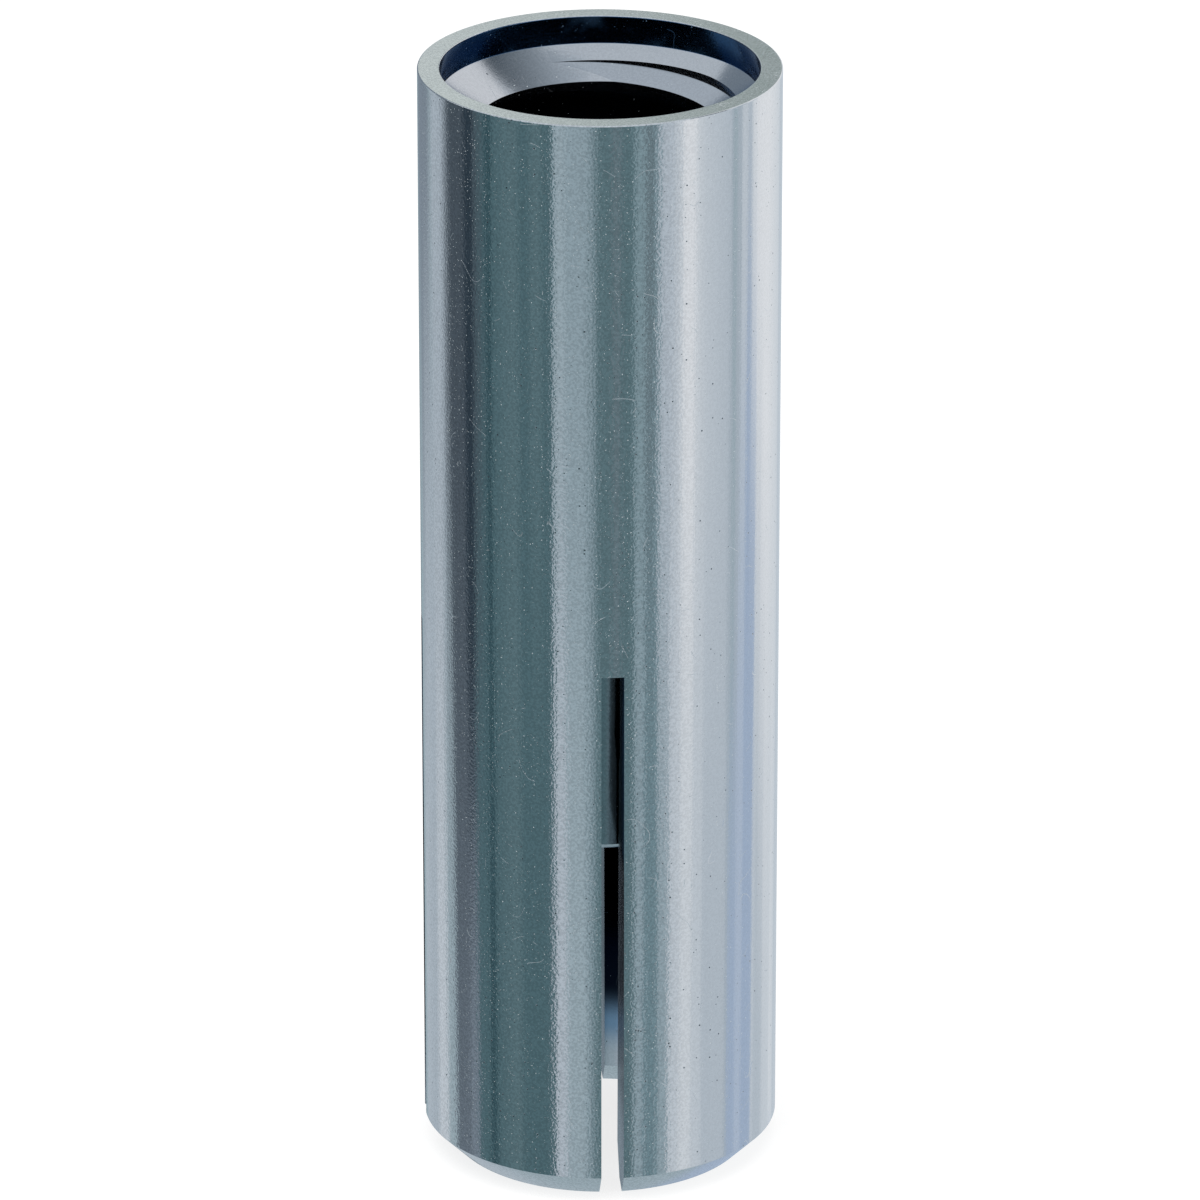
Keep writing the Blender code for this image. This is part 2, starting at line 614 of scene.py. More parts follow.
ZINC = (0.71, 0.73, 0.75, 1.0)
OUTSIDE_ZINC = SteelFinish(
    name="zinc_outside",
    colour=ZINC,
    roughness=0.09,
    lay=Lay.ROUND_WALL,
    tool_depth=0.0,
    grain_height=4.8,
    line_height=4.0,
    speck_share=0.75,
    dust_share=0.9,
    dusty_side=0.95,
    pit_share=0.8,
    pit_depth=14.0,
    scratch_depth=3.0,
    mottling=0.09,
    smoother_side=0.3,
    crust=(0.42, 0.49, 0.52, 1.0),
)
FACED_ZINC = SteelFinish(
    name="zinc_faced",
    colour=ZINC,
    roughness=0.2,
    lay=Lay.ROUND_FACE,
    tool_depth=1.2,
    grain_height=5.0,
    speck_share=0.3,
    pit_share=0.12,
    mottling=0.09,
)
# Painted shade: the counterbore wall is coloured near-black blue, standing in for the shade in the recess.
# Its blue is a painted reflection, and its crust colour is blue too.
RECESS_ZINC_PAINTED_SHADE = SteelFinish(
    name="zinc_recess_painted_shade",
    colour=(0.045, 0.12, 0.24, 1.0),
    roughness=0.12,
    lay=Lay.ROUND_WALL,
    tool_depth=0.6,
    grain_height=1.5,
    speck_share=0.2,
    dust_share=0.8,
    stains=0.16,
    crust=(0.20, 0.31, 0.45, 1.0),
)
TAPPED_ZINC = SteelFinish(
    name="zinc_tapped",
    colour=(0.48, 0.51, 0.55, 1.0),
    speck_share=0.12,
    dust_share=0.1,
    roughness=0.16,
    lay=Lay.ROUND_WALL,
    tool_depth=0.8,
    grain_height=1.5,
    mottling=0.03,
    # Painted shade: the thread darkens to dark grey below the mouth, standing in for the shade inside the
    # socket.
    depth_shade=PaintedDepthShade(3.2 * MM, 6.0 * MM, 47.3 * MM, 48.2 * MM),
)
BORED_ZINC = SteelFinish(
    name="zinc_bored",
    colour=(0.57, 0.59, 0.62, 1.0),
    roughness=0.16,
    lay=Lay.ROUND_WALL,
    tool_depth=1.2,
    grain_height=1.5,
    mottling=0.03,
    speck_share=0.12,
    dust_share=0.1,
    # Painted shade: near black deep in the bore, with a painted blue glint half way, lighter again at the
    # foot and the mouth.
    depth_shade=PaintedDepthShade(
        foot_from=1.2 * MM,
        foot_to=5.6 * MM,
        mouth_from=47.3 * MM,
        mouth_to=48.2 * MM,
        shade_colour=(0.004, 0.007, 0.014, 1.0),
        tint=(0.22, 0.33, 0.46, 1.0),
    ),
)
SAWN_ZINC = SteelFinish(
    name="zinc_sawn",
    colour=(0.56, 0.59, 0.65, 1.0),
    roughness=0.2,
    lay=Lay.UP_THE_SLOT,
    tool_depth=2.0,
    grain_height=2.0,
    specular=0.15,
    # Painted shade: the slot cheeks darken to near-black blue above the foot, standing in for the shade
    # inside the narrow slots.
    depth_shade=PaintedDepthShade(1.5 * MM, 7.0 * MM, shade_colour=(0.012, 0.04, 0.085, 1.0)),
    shielded=(15.9 * MM, 16.9 * MM),
)
PLUG_STEEL = SteelFinish(
    name="steel_plug",
    colour=(0.44, 0.50, 0.53, 1.0),
    roughness=0.13,
    lay=Lay.ROUND_WALL,
    tool_depth=0.6,
    grain_height=1.5,
    speck_share=0.2,
)


# Turned profiles


@dataclass(frozen=True)
class Corner:
    """A corner of a turned profile: its radius and height, and how far the tool rounds it."""

    radius: float
    height: float
    rounding: float = 0.0


def round_corner(before: Corner, corner: Corner, after: Corner, steps: int) -> list[Point]:
    """Replace one corner of a profile by an arc.

    Args:
        before: The corner that comes before it.
        corner: The corner to round.
        after: The corner that comes after it.
        steps: Number of straight steps in the arc.

    Returns:
        The arc's points, or the corner itself where it has no rounding.
    """
    here = Vector((corner.radius, corner.height))
    if corner.rounding == 0.0:
        return [tuple(here)]
    back = (Vector((before.radius, before.height)) - here).normalized()
    on = (Vector((after.radius, after.height)) - here).normalized()
    half_angle = back.angle(on) / 2.0
    centre = here + (back + on).normalized() * (corner.rounding / math.sin(half_angle))
    run = corner.rounding / math.tan(half_angle)
    first = (here + back * run - centre).normalized()
    last = (here + on * run - centre).normalized()
    return [tuple(centre + first.slerp(last, step / steps) * corner.rounding) for step in range(steps + 1)]


def profile_mesh(name: str, corners: list[Corner], closed: bool, steps: int = 3) -> bpy.types.Mesh:
    """Make a mesh of edges from a profile, with radius along X and height along Y.

    Args:
        name: Name of the mesh.
        corners: The profile's corners in order.
        closed: Whether the last corner joins the first.
        steps: Number of straight steps in each rounded corner.

    Returns:
        The mesh of edges.
    """
    points: list[Point] = []
    for index, corner in enumerate(corners):
        at_end = not closed and index in (0, len(corners) - 1)
        if at_end:
            points.append((corner.radius, corner.height))
        else:
            after = corners[(index + 1) % len(corners)]
            points.extend(round_corner(corners[index - 1], corner, after, steps))
    edges = [(index, index + 1) for index in range(len(points) - 1)]
    if closed:
        edges.append((len(points) - 1, 0))
    mesh = bpy.data.meshes.new(name)
    mesh.from_pydata([(radius, height, 0.0) for radius, height in points], edges, [])
    return mesh


# Geometry trees


class Cut(IntEnum):
    """What made a face of the sleeve."""

    LATHE = 0
    TAP = 1
    SAW = 2


class Workshop:
    """Geometry Nodes trees for the operations that make the pieces: turning, tapping and sawing."""

    def __init__(self) -> None:
        """Build each tree once."""
        self.turning = self.build_turning()
        self.tap = self.build_tap()
        self.saw = self.build_saw()

    @staticmethod
    def put_out(graph: Graph, geometry: Socket, cut: Cut) -> Tree:
        """End an operation's tree, with every face marked as made by that operation.

        Args:
            graph: The operation's graph.
            geometry: What the operation made.
            cut: The operation.

        Returns:
            The operation's tree.
        """
        stored = graph.add(
            "GeometryNodeStoreNamedAttribute",
            {"Geometry": geometry, "Name": CUT_BY, "Value": int(cut)},
            data_type="INT",
            domain="FACE",
        )
        graph.add("NodeGroupOutput", {"Mesh": stored.outputs[0]})
        return graph.tree

    def turned(self, graph: Graph, given: dict[str, Socket]) -> Socket:
        """Turn a piece from the inputs that LATHE_PORTS names."""
        return graph.group(self.turning, {name: given[name] for name in LATHE_PORTS})[0]

    @staticmethod
    def finish(graph: Graph, mesh: Socket, looks: Looks) -> Tree:
        """Smooth a piece, lay its materials on in order, and end its tree with that.

        Args:
            graph: The piece's graph.
            mesh: The shaped mesh.
            looks: Each material with the faces that it goes on.

        Returns:
            The piece's finished tree.
        """
        smooth = graph.add("GeometryNodeSetShadeSmooth", {"Geometry": mesh})
        mesh = graph.add("GeometryNodeRealizeInstances", {"Geometry": smooth.outputs[0]}).outputs[0]
        for material, faces in looks:
            inputs = {"Geometry": mesh, "Selection": faces, "Material": material}
            mesh = graph.add("GeometryNodeSetMaterial", inputs).outputs[0]
        graph.add("NodeGroupOutput", {"Mesh": mesh})
        return graph.tree

    @staticmethod
    def build_turning() -> Tree:
        """Build the tree that spins a profile round the Z axis.

        Returns:
            The tree.
        """
        graph, given = new_group("turning", Kind.GEOMETRY, LATHE_PORTS, MESH_PORTS)
        offset = graph.join(X=graph.math("MULTIPLY", given["Radius"], -1.0))
        placed = graph.moved(given["Profile"], Translation=offset, Scale=(1.0, -1.0, 1.0))
        outline = graph.add("GeometryNodeMeshToCurve", {"Mesh": placed}).outputs[0]
        sizes = {"Resolution": given["Segments"], "Radius": given["Radius"]}
        circle = graph.add("GeometryNodeCurvePrimitiveCircle", sizes)
        upright = graph.add("GeometryNodeSetCurveNormal", {"Curve": circle.outputs[0]}, mode="Z_UP")
        spun = graph.add("GeometryNodeCurveToMesh", {"Curve": upright.outputs[0], "Profile Curve": outline})
        sockets = {"Geometry": spun.outputs[0], "Distance": MERGE_DISTANCE}
        merged = graph.add("GeometryNodeMergeByDistance", sockets)
        return Workshop.put_out(graph, merged.outputs[0], Cut.LATHE)

    @staticmethod
    def build_tap() -> Tree:
        """Build the tree that winds a right-hand thread groove, as a solid to cut away.

        Returns:
            The tree.
        """
        inputs = {
            "Pitch": 2.0 * MM,
            "Turns": 10.0,
            "Root Radius": 6.0 * MM,
            "Inner Radius": 5.0 * MM,
            "Root Width": 0.4 * MM,
            "Inner Width": 1.8 * MM,
            "Start Height": 0.0,
            "Start Angle": 0.0,
            "Steps": 144,
        }
        graph, given = new_group("tap", Kind.GEOMETRY, inputs, MESH_PORTS)
        depth = graph.math("SUBTRACT", given["Root Radius"], given["Inner Radius"])
        middle = graph.math("MULTIPLY", graph.math("ADD", given["Root Radius"], given["Inner Radius"]), 0.5)
        helix = graph.add(
            "GeometryNodeCurveSpiral",
            {
                "Resolution": given["Steps"],
                "Rotations": given["Turns"],
                "Start Radius": middle,
                "End Radius": middle,
                "Height": graph.math("MULTIPLY", given["Pitch"], given["Turns"]),
                "Reverse": True,
            },
        )
        upright = graph.add("GeometryNodeSetCurveNormal", {"Curve": helix.outputs[0]}, mode="Z_UP")
        widths = {"Bottom Width": given["Inner Width"], "Top Width": given["Root Width"]}
        sockets = {**widths, "Offset": 0.0, "Height": depth}
        tooth = graph.add("GeometryNodeCurvePrimitiveQuadrilateral", sockets, mode="TRAPEZOID")
        turned = graph.moved(tooth.outputs[0], Rotation=(0.0, 0.0, -math.pi / 2.0))
        sockets = {"Curve": upright.outputs[0], "Profile Curve": turned, "Fill Caps": True}
        groove = graph.add("GeometryNodeCurveToMesh", sockets)
        place = graph.join(Z=given["Start Height"])
        angle = graph.join(Z=given["Start Angle"])
        seated = graph.moved(groove.outputs[0], Translation=place, Rotation=angle)
        return Workshop.put_out(graph, seated, Cut.TAP)

    @staticmethod
    def build_saw() -> Tree:
        """Build the tree that sets one blade for each slot round the Z axis, as solids to cut away.

        Returns:
            The tree.
        """
        inputs = {
            "Count": 4,
            "Width": 1.0 * MM,
            "Length": 25.0 * MM,
            "From Radius": 2.0 * MM,
            "To Radius": 9.0 * MM,
            "Overrun": 1.0 * MM,
        }
        graph, given = new_group("saw", Kind.GEOMETRY, inputs, MESH_PORTS)
        reach = graph.math("SUBTRACT", given["To Radius"], given["From Radius"])
        height = graph.math("ADD", given["Length"], given["Overrun"])
        blade = graph.add("GeometryNodeMeshCube", {"Size": graph.join(X=reach, Y=given["Width"], Z=height)})
        middle = graph.math("MULTIPLY", graph.math("ADD", given["From Radius"], given["To Radius"]), 0.5)
        ring = graph.add("GeometryNodeMeshCircle", {"Vertices": given["Count"], "Radius": middle})
        step = graph.math("DIVIDE", math.tau, given["Count"])
        turn = graph.math("MULTIPLY", graph.add("GeometryNodeInputIndex").outputs[0], step)
        blades = graph.add(
            "GeometryNodeInstanceOnPoints",
            {"Points": ring.outputs[0], "Instance": blade.outputs[0], "Rotation": graph.join(Z=turn)},
        )
        rise = graph.math("MULTIPLY", graph.math("SUBTRACT", given["Length"], given["Overrun"]), 0.5)
        raised = graph.moved(blades.outputs[0], Translation=graph.join(Z=rise))
        real = graph.add("GeometryNodeRealizeInstances", {"Geometry": raised})
        return Workshop.put_out(graph, real.outputs[0], Cut.SAW)


# Sub-assemblies


@dataclass
class Sleeve:
    """The turned sleeve: rim, counterbore, tapped socket, tapered bore and four sawn slots."""

    node: str = "anchor_sleeve"
    name: str = "sleeve_plated"
    wall: float = 2.63 * MM
    foot_chamfer: float = 1.25 * MM
    foot_inner_chamfer: float = 1.25 * MM
    rim_width: float = 0.97 * MM
    counterbore_depth: float = 1.26 * MM
    lead_in_depth: float = 1.22 * MM
    shoulder_height: float = 19.9 * MM
    shoulder_rise: float = 0.8 * MM
    shoulder_width: float = 0.55 * MM
    taper_narrowing: float = 0.75 * MM
    slot_count: int = 4
    slot_width: float = 1.0 * MM
    slot_length: float = 25.4 * MM
    saw_overrun: float = 1.0 * MM
    edge_rounding: float = 0.05 * MM
    threads_per_inch: float = 13.0
    thread_root_radius: float = 6.23 * MM
    thread_root_width: float = 0.38 * MM
    thread_flank: float = math.radians(30)
    thread_inside: float = 0.35 * MM
    thread_bottom: float = 30.2 * MM
    thread_overrun: float = 1.5 * MM
    groove_below_rim: float = 1.698 * MM
    groove_azimuth: float = math.radians(90)
    inside_share: float = 0.99
    recess_margin: float = 0.01 * MM
    segments: int = 288
    thread_steps: int = 144

    def __post_init__(self) -> None:
        """Take the overall sizes from the CAD solid, and work out the radii that follow."""
        low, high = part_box(self.node)
        self.radius = high.x
        self.length = high.z - low.z
        self.pitch = INCH / self.threads_per_inch
        self.socket_radius = self.radius - self.wall
        self.taper_top = self.socket_radius - self.shoulder_width
        self.taper_mouth = self.taper_top - self.taper_narrowing
        self.counterbore_radius = self.radius - self.rim_width
        self.counterbore_floor = self.length - self.counterbore_depth
        self.mouth_bottom = self.counterbore_floor - self.lead_in_depth

    def bore_radius(self, height: float) -> float:
        """Return the tapered bore's radius at a height, the taper being carried on above the shoulder."""
        share = (height - self.foot_inner_chamfer) / (self.shoulder_height - self.foot_inner_chamfer)
        return self.taper_mouth + share * self.taper_narrowing

    def profile(self) -> list[Corner]:
        """Return the half section: down the outside, across the foot and up the bore.

        Returns:
            Its corners in order.
        """
        edge = self.edge_rounding
        return [
            Corner(self.radius, self.length, edge),
            Corner(self.radius, self.foot_chamfer, edge),
            Corner(self.radius - self.foot_chamfer, 0.0, edge),
            Corner(self.taper_mouth + self.foot_inner_chamfer, 0.0, edge),
            Corner(self.taper_mouth, self.foot_inner_chamfer, edge),
            Corner(self.taper_top, self.shoulder_height, edge),
            Corner(self.socket_radius, self.shoulder_height + self.shoulder_rise, edge),
            Corner(self.socket_radius, self.mouth_bottom),
            Corner(self.counterbore_radius, self.counterbore_floor, edge),
            Corner(self.counterbore_radius, self.length, edge),
        ]

    def thread_inputs(self) -> Inputs:
        """Work out the tap's inputs, with the groove where the photograph shows it break into the cone.

        Returns:
            A value for each input by name.
        """
        inner = self.socket_radius - self.thread_inside
        spread = 2.0 * (self.thread_root_radius - inner) * math.tan(self.thread_flank)
        reference = self.length - self.groove_below_rim
        turns_down = math.floor((reference - self.thread_bottom) / self.pitch)
        start_height = reference - turns_down * self.pitch
        top = self.length + self.thread_overrun
        return {
            "Pitch": self.pitch,
            "Turns": (top - start_height) / self.pitch,
            "Root Radius": self.thread_root_radius,
            "Inner Radius": inner,
            "Root Width": self.thread_root_width,
            "Inner Width": self.thread_root_width + spread,
            "Start Height": start_height,
            "Start Angle": self.groove_azimuth,
            "Steps": self.thread_steps,
        }

    def saw_inputs(self) -> Inputs:
        """Work out the saw's inputs.

        Returns:
            A value for each input by name.
        """
        return {
            "Count": self.slot_count,
            "Width": self.slot_width,
            "Length": self.slot_length,
            "From Radius": self.taper_mouth / 2.0,
            "To Radius": self.radius + self.saw_overrun,
            "Overrun": self.saw_overrun,
        }

    def build_tree(self, workshop: Workshop, finishes: Finishes) -> Tree:
        """Build the tree that turns, taps and saws the sleeve, and gives each surface its finish.

        Args:
            workshop: The trees of the three operations.
            finishes: The sleeve's materials by name.

        Returns:
            The sleeve's Geometry Nodes tree.
        """
        inputs = {"Recess Bottom": 49.5 * MM, "Recess Radius": 7.0 * MM, "Foot Chamfer": 1.0 * MM}
        graph, given = new_group("anchor_sleeve", Kind.GEOMETRY, LATHE_PORTS | inputs, MESH_PORTS)
        cut = graph.add("GeometryNodeMeshBoolean", operation="DIFFERENCE", solver="EXACT")
        graph.feed(cut.inputs["Mesh 1"], workshop.turned(graph, given))
        for cutter, sizes in ((workshop.tap, self.thread_inputs()), (workshop.saw, self.saw_inputs())):
            graph.feed(cut.inputs["Mesh 2"], graph.group(cutter, sizes)[0])
        looks = [(finishes[name], faces) for name, faces in self.regions(graph, given).items()]
        return workshop.finish(graph, cut.outputs[0], looks)

    def regions(self, graph: Graph, given: dict[str, Socket]) -> dict[str, Socket | bool]:
        """Select the faces of each finish, in the order in which the finishes are laid on.

        Args:
            graph: The sleeve's graph.
            given: The outputs of its Group Input node.

        Returns:
            A selection for each finish by name, or True for the one that goes everywhere first.
        """
        place = graph.split(graph.add("GeometryNodeInputPosition").outputs[0])
        radius = graph.off_axis(place)
        inside = graph.math("LESS_THAN", radius, graph.math("MULTIPLY", given["Radius"], self.inside_share))
        at_rim = graph.math("GREATER_THAN", place["Z"], given["Recess Bottom"])
        at_foot = graph.math("LESS_THAN", place["Z"], given["Foot Chamfer"])
        faced = graph.math("MULTIPLY", inside, graph.math("MAXIMUM", at_rim, at_foot))
        recessed = graph.math("MULTIPLY", graph.math("LESS_THAN", radius, given["Recess Radius"]), at_rim)
        stored = graph.add("GeometryNodeInputNamedAttribute", {"Name": CUT_BY}, data_type="INT")
        cut = stored.outputs["Attribute"]
        tapped = graph.math("COMPARE", cut, int(Cut.TAP), 0.5)
        untapped = graph.math("SUBTRACT", 1.0, tapped)
        return {
            OUTSIDE_ZINC.name: True,
            BORED_ZINC.name: inside,
            TAPPED_ZINC.name: tapped,
            FACED_ZINC.name: graph.math("MULTIPLY", faced, untapped),
            # The counterbore wall takes the painted shade finish.
            RECESS_ZINC_PAINTED_SHADE.name: graph.math("MULTIPLY", recessed, untapped),
            SAWN_ZINC.name: graph.math("COMPARE", cut, int(Cut.SAW), 0.5),
        }

    def build(self, workshop: Workshop, finishes: Finishes) -> bpy.types.Object:
        """Make the sleeve and put it in its solid's place.

        Args:
            workshop: The trees of the three operations.
            finishes: The finished materials by name.

        Returns:
            The finished sleeve.
        """
        profile = profile_mesh("sleeve_profile", self.profile(), closed=True)
        sizes = {
            "Radius": self.radius,
            "Segments": self.segments,
            "Recess Bottom": self.counterbore_floor,
            "Recess Radius": self.counterbore_radius + self.recess_margin,
            "Foot Chamfer": self.foot_chamfer,
        }
        piece = bake_piece(self.name, profile, self.build_tree(workshop, finishes), sizes)
        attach(piece, BODY)
        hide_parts(self.node)
        return piece


@dataclass
class ExpanderPlug:
    """The steel plug that waits wedged in the tapered bore: one long taper with chamfered ends."""

    sleeve: Sleeve
    node: str = "expander_plug"
    name: str = "plug_turned"
    clearance: float = 0.3 * MM
    edge_chamfer: float = 0.26 * MM
    edge_rounding: float = 0.03 * MM
    segments: int = 144

    def side_radius(self, height: float) -> float:
        """Return the radius of the plug's side at a height, the clearance inside the bore's taper."""
        return self.sleeve.bore_radius(height) - self.clearance

    def profile(self) -> list[Corner]:
        """Return the half section, from the axis at the top to the axis under the nose.

        Returns:
            Its corners in order.
        """
        low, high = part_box(self.node)
        upper = self.side_radius(high.z - self.edge_chamfer)
        lower = self.side_radius(low.z + self.edge_chamfer)
        edge = self.edge_rounding
        return [
            Corner(0.0, high.z),
            Corner(upper - self.edge_chamfer, high.z, edge),
            Corner(upper, high.z - self.edge_chamfer, edge),
            Corner(lower, low.z + self.edge_chamfer, edge),
            Corner(lower - self.edge_chamfer, low.z, edge),
            Corner(0.0, low.z),
        ]

    def build(self, workshop: Workshop, finishes: Finishes) -> bpy.types.Object:
        """Make the plug and put it in its solid's place.

        Args:
            workshop: The trees of the operations.
            finishes: The finished materials by name.

        Returns:
            The finished plug.
        """
        profile = profile_mesh("plug_profile", self.profile(), closed=False)
        graph, given = new_group("expander_plug", Kind.GEOMETRY, LATHE_PORTS, MESH_PORTS)
        tree = workshop.finish(graph, workshop.turned(graph, given), [(finishes[PLUG_STEEL.name], True)])
        sizes = {"Radius": self.side_radius(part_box(self.node)[1].z), "Segments": self.segments}
        piece = bake_piece(self.name, profile, tree, sizes)
        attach(piece, BODY)
        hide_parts(self.node)
        return piece


# Studio


class Tone(Enum):
    """Brightness and tint of a card that the metal reflects, as linear colours."""

    INK = (0.035, 0.055, 0.075)
    PINE = (0.04, 0.09, 0.11)
    SLATE = (0.085, 0.11, 0.135)
    TEAL = (0.10, 0.18, 0.205)
    FERN = (0.135, 0.22, 0.245)
    ASH = (0.185, 0.25, 0.28)
    SEA = (0.20, 0.305, 0.345)
    DUSK = (0.24, 0.29, 0.345)
    FOAM = (0.28, 0.39, 0.43)
    STEEL = (0.36, 0.46, 0.51)
    MIST = (0.42, 0.52, 0.57)
    SILVER = (0.50, 0.57, 0.635)
    ICE = (0.45, 0.55, 0.71)
    FROST = (0.54, 0.63, 0.77)
    CLOUD = (0.58, 0.645, 0.71)
    PEARL = (0.68, 0.735, 0.79)
    PALE = (0.79, 0.83, 0.87)
    WHITE = (0.93, 0.945, 0.97)
    SAGE = (0.20, 0.265, 0.255)
    CHALK = (0.84, 0.90, 0.87)


@dataclass(frozen=True)
class Card:
    """A curved card that stands round the anchor, out of the camera's sight.

    Azimuths run in degrees from the camera's direction, positive to its right. Elevations are above the
    horizon as seen from the card's centre. The tone runs evenly across to far_tone, where there is one, and
    both fade down to low_tone over the elevations in fade.
    """

    name: str
    azimuth: Span
    elevation: Span
    tone: Tone
    far_tone: Tone | None = None
    low_tone: Tone | None = None
    fade: Span = (-25.5, -19.5)
    distance: float = 0.60
    centre_height: float = 0.0

    def colour_at(self, across: float, elevation: float) -> Vector:
        """Return the card's colour.

        Args:
            across: How far across the card, from 0 to 1.
            elevation: Elevation in degrees.

        Returns:
            The linear colour.
        """
        tone = Vector(self.tone.value).lerp(Vector((self.far_tone or self.tone).value), across)
        if self.low_tone is None:
            return tone
        rise = (elevation - self.fade[0]) / (self.fade[1] - self.fade[0])
        return Vector(self.low_tone.value).lerp(tone, min(max(rise, 0.0), 1.0))


WALL = (-45.0, 12.0)
BACK_WALL = (-31.0, 12.0)
CARDS = (
    Card(
        "ground_left", (-180, 0), (-90, -31), Tone.SILVER, low_tone=Tone.MIST, fade=(-62, -48), distance=0.62
    ),
    Card(
        "ground_right", (0, 180), (-90, -31), Tone.SILVER, low_tone=Tone.MIST, fade=(-60, -44), distance=0.62
    ),
    Card("ground_blue", (150, 180), (-52, -27), Tone.ICE, distance=0.59),
    Card("zenith", (-180, 180), (60, 90), Tone.PEARL, distance=0.62),
    Card("upper_ring", (-180, 180), (12, 60), Tone.PEARL, distance=0.61),
    Card("back_left", (-180, -168), BACK_WALL, Tone.STEEL, low_tone=Tone.SLATE, fade=(-22, -15)),
    Card("back_gap", (-168, -160), BACK_WALL, Tone.DUSK, low_tone=Tone.STEEL, fade=(-18.5, -15.5)),
    Card("left_shade", (-160, -152), BACK_WALL, Tone.DUSK, low_tone=Tone.SILVER, fade=(-22.8, -16.6)),
    Card("left_dusk", (-152, -142), BACK_WALL, Tone.DUSK, low_tone=Tone.SILVER, fade=(-19.8, -15)),
    Card("left_rise", (-142, -134), WALL, Tone.DUSK, Tone.MIST, low_tone=Tone.SILVER, fade=(-19.8, -15)),
    Card("left_silver", (-134, -121), WALL, Tone.SILVER, low_tone=Tone.PEARL),
    Card("left_fade", (-121, -111), WALL, Tone.SILVER, Tone.SLATE, low_tone=Tone.MIST),
    Card("left_slate", (-111, -95.5), WALL, Tone.SLATE, low_tone=Tone.DUSK, fade=(-38, -19)),
    Card("left_ink", (-95.5, -88), WALL, Tone.INK, low_tone=Tone.DUSK, fade=(-27.5, -23.5)),
    Card("left_grey", (-88, -77), WALL, Tone.SLATE, Tone.TEAL, low_tone=Tone.TEAL),
    Card("left_pine", (-77, -73), WALL, Tone.PINE),
    Card("left_teal", (-73, -57), WALL, Tone.TEAL, Tone.FERN),
    Card("left_fern", (-57, -53), WALL, Tone.FERN),
    Card("middle_teal", (-53, -45), WALL, Tone.TEAL),
    Card("middle_fern", (-45, -37), WALL, Tone.FERN, low_tone=Tone.TEAL),
    Card("dark_edge", (-37, -29.8), WALL, Tone.TEAL),
    Card("bright_edge", (-29.8, -22), WALL, Tone.MIST, low_tone=Tone.CLOUD),
    Card("front_steel", (-22, -9), WALL, Tone.STEEL, low_tone=Tone.MIST),
    Card("front_fade", (-9, 0), WALL, Tone.STEEL, Tone.FERN),
    Card("front_fern", (0, 8), WALL, Tone.FERN),
    Card("front_ash", (8, 12.5), WALL, Tone.ASH),
    Card("front_green", (12.5, 22), WALL, Tone.FERN),
    Card("front_foam", (22, 29), WALL, Tone.FOAM, low_tone=Tone.STEEL),
    Card("front_dip", (29, 34), WALL, Tone.ASH, low_tone=Tone.SEA),
    Card("front_rise", (34, 38), WALL, Tone.SEA, Tone.STEEL, low_tone=Tone.SEA),
    Card("right_cloud", (38, 46), WALL, Tone.CLOUD, low_tone=Tone.STEEL, fade=(-28, -20)),
    Card("right_rise", (46, 54), WALL, Tone.CLOUD, Tone.PALE, low_tone=Tone.PEARL),
    Card("right_white", (54, 63), WALL, Tone.WHITE, low_tone=Tone.PALE),
    Card("right_fall", (63, 71), WALL, Tone.PALE, Tone.PEARL, low_tone=Tone.PEARL),
    Card("right_even", (71, 91), WALL, Tone.PEARL, Tone.CLOUD, low_tone=Tone.CLOUD),
    Card("right_silver", (91, 93.5), WALL, Tone.SILVER),
    Card("right_dip", (93.5, 96), WALL, Tone.MIST, low_tone=Tone.ICE, fade=(-26, -22)),
    Card("right_even_low", (96, 101), WALL, Tone.SILVER, low_tone=Tone.ICE, fade=(-26, -22)),
    Card("right_ridge", (101, 107), WALL, Tone.PEARL, low_tone=Tone.FROST, fade=(-23, -16)),
    Card("right_blue", (107, 112), WALL, Tone.CLOUD, low_tone=Tone.ICE, fade=(-18, -14.5)),
    Card("right_climb", (112, 119), WALL, Tone.PALE, Tone.WHITE, low_tone=Tone.ICE, fade=(-21, -15.8)),
    Card("right_line", (119, 122), WALL, Tone.WHITE, low_tone=Tone.PEARL, fade=(-23.5, -16)),
    Card("right_pearl", (122, 127), WALL, Tone.WHITE, low_tone=Tone.CLOUD, fade=(-25, -16.5)),
    Card("right_shine", (127, 134), WALL, Tone.WHITE, low_tone=Tone.CLOUD, fade=(-26, -19)),
    Card("right_glare", (134, 148), WALL, Tone.WHITE, Tone.PALE, low_tone=Tone.PEARL, fade=(-27, -19)),
    Card("right_step", (148, 158), BACK_WALL, Tone.PALE, Tone.PEARL),
    Card("back_right", (158, 172), BACK_WALL, Tone.CLOUD),
    Card("back_white", (172, 180), BACK_WALL, Tone.CLOUD),
    Card("upper_back_right", (120, 180), (12, 46), Tone.WHITE),
    Card(
        "upper_right_gap", (84, 126), (46, 84), Tone.SILVER, low_tone=Tone.SLATE, fade=(50, 80), distance=0.6
    ),
    Card("upper_back_left", (-180, -122), (12, 42), Tone.DUSK),
    Card("rim_card", (170, 190), (13, 31), Tone.SAGE, Tone.CHALK, distance=0.08, centre_height=50.8 * MM),
)


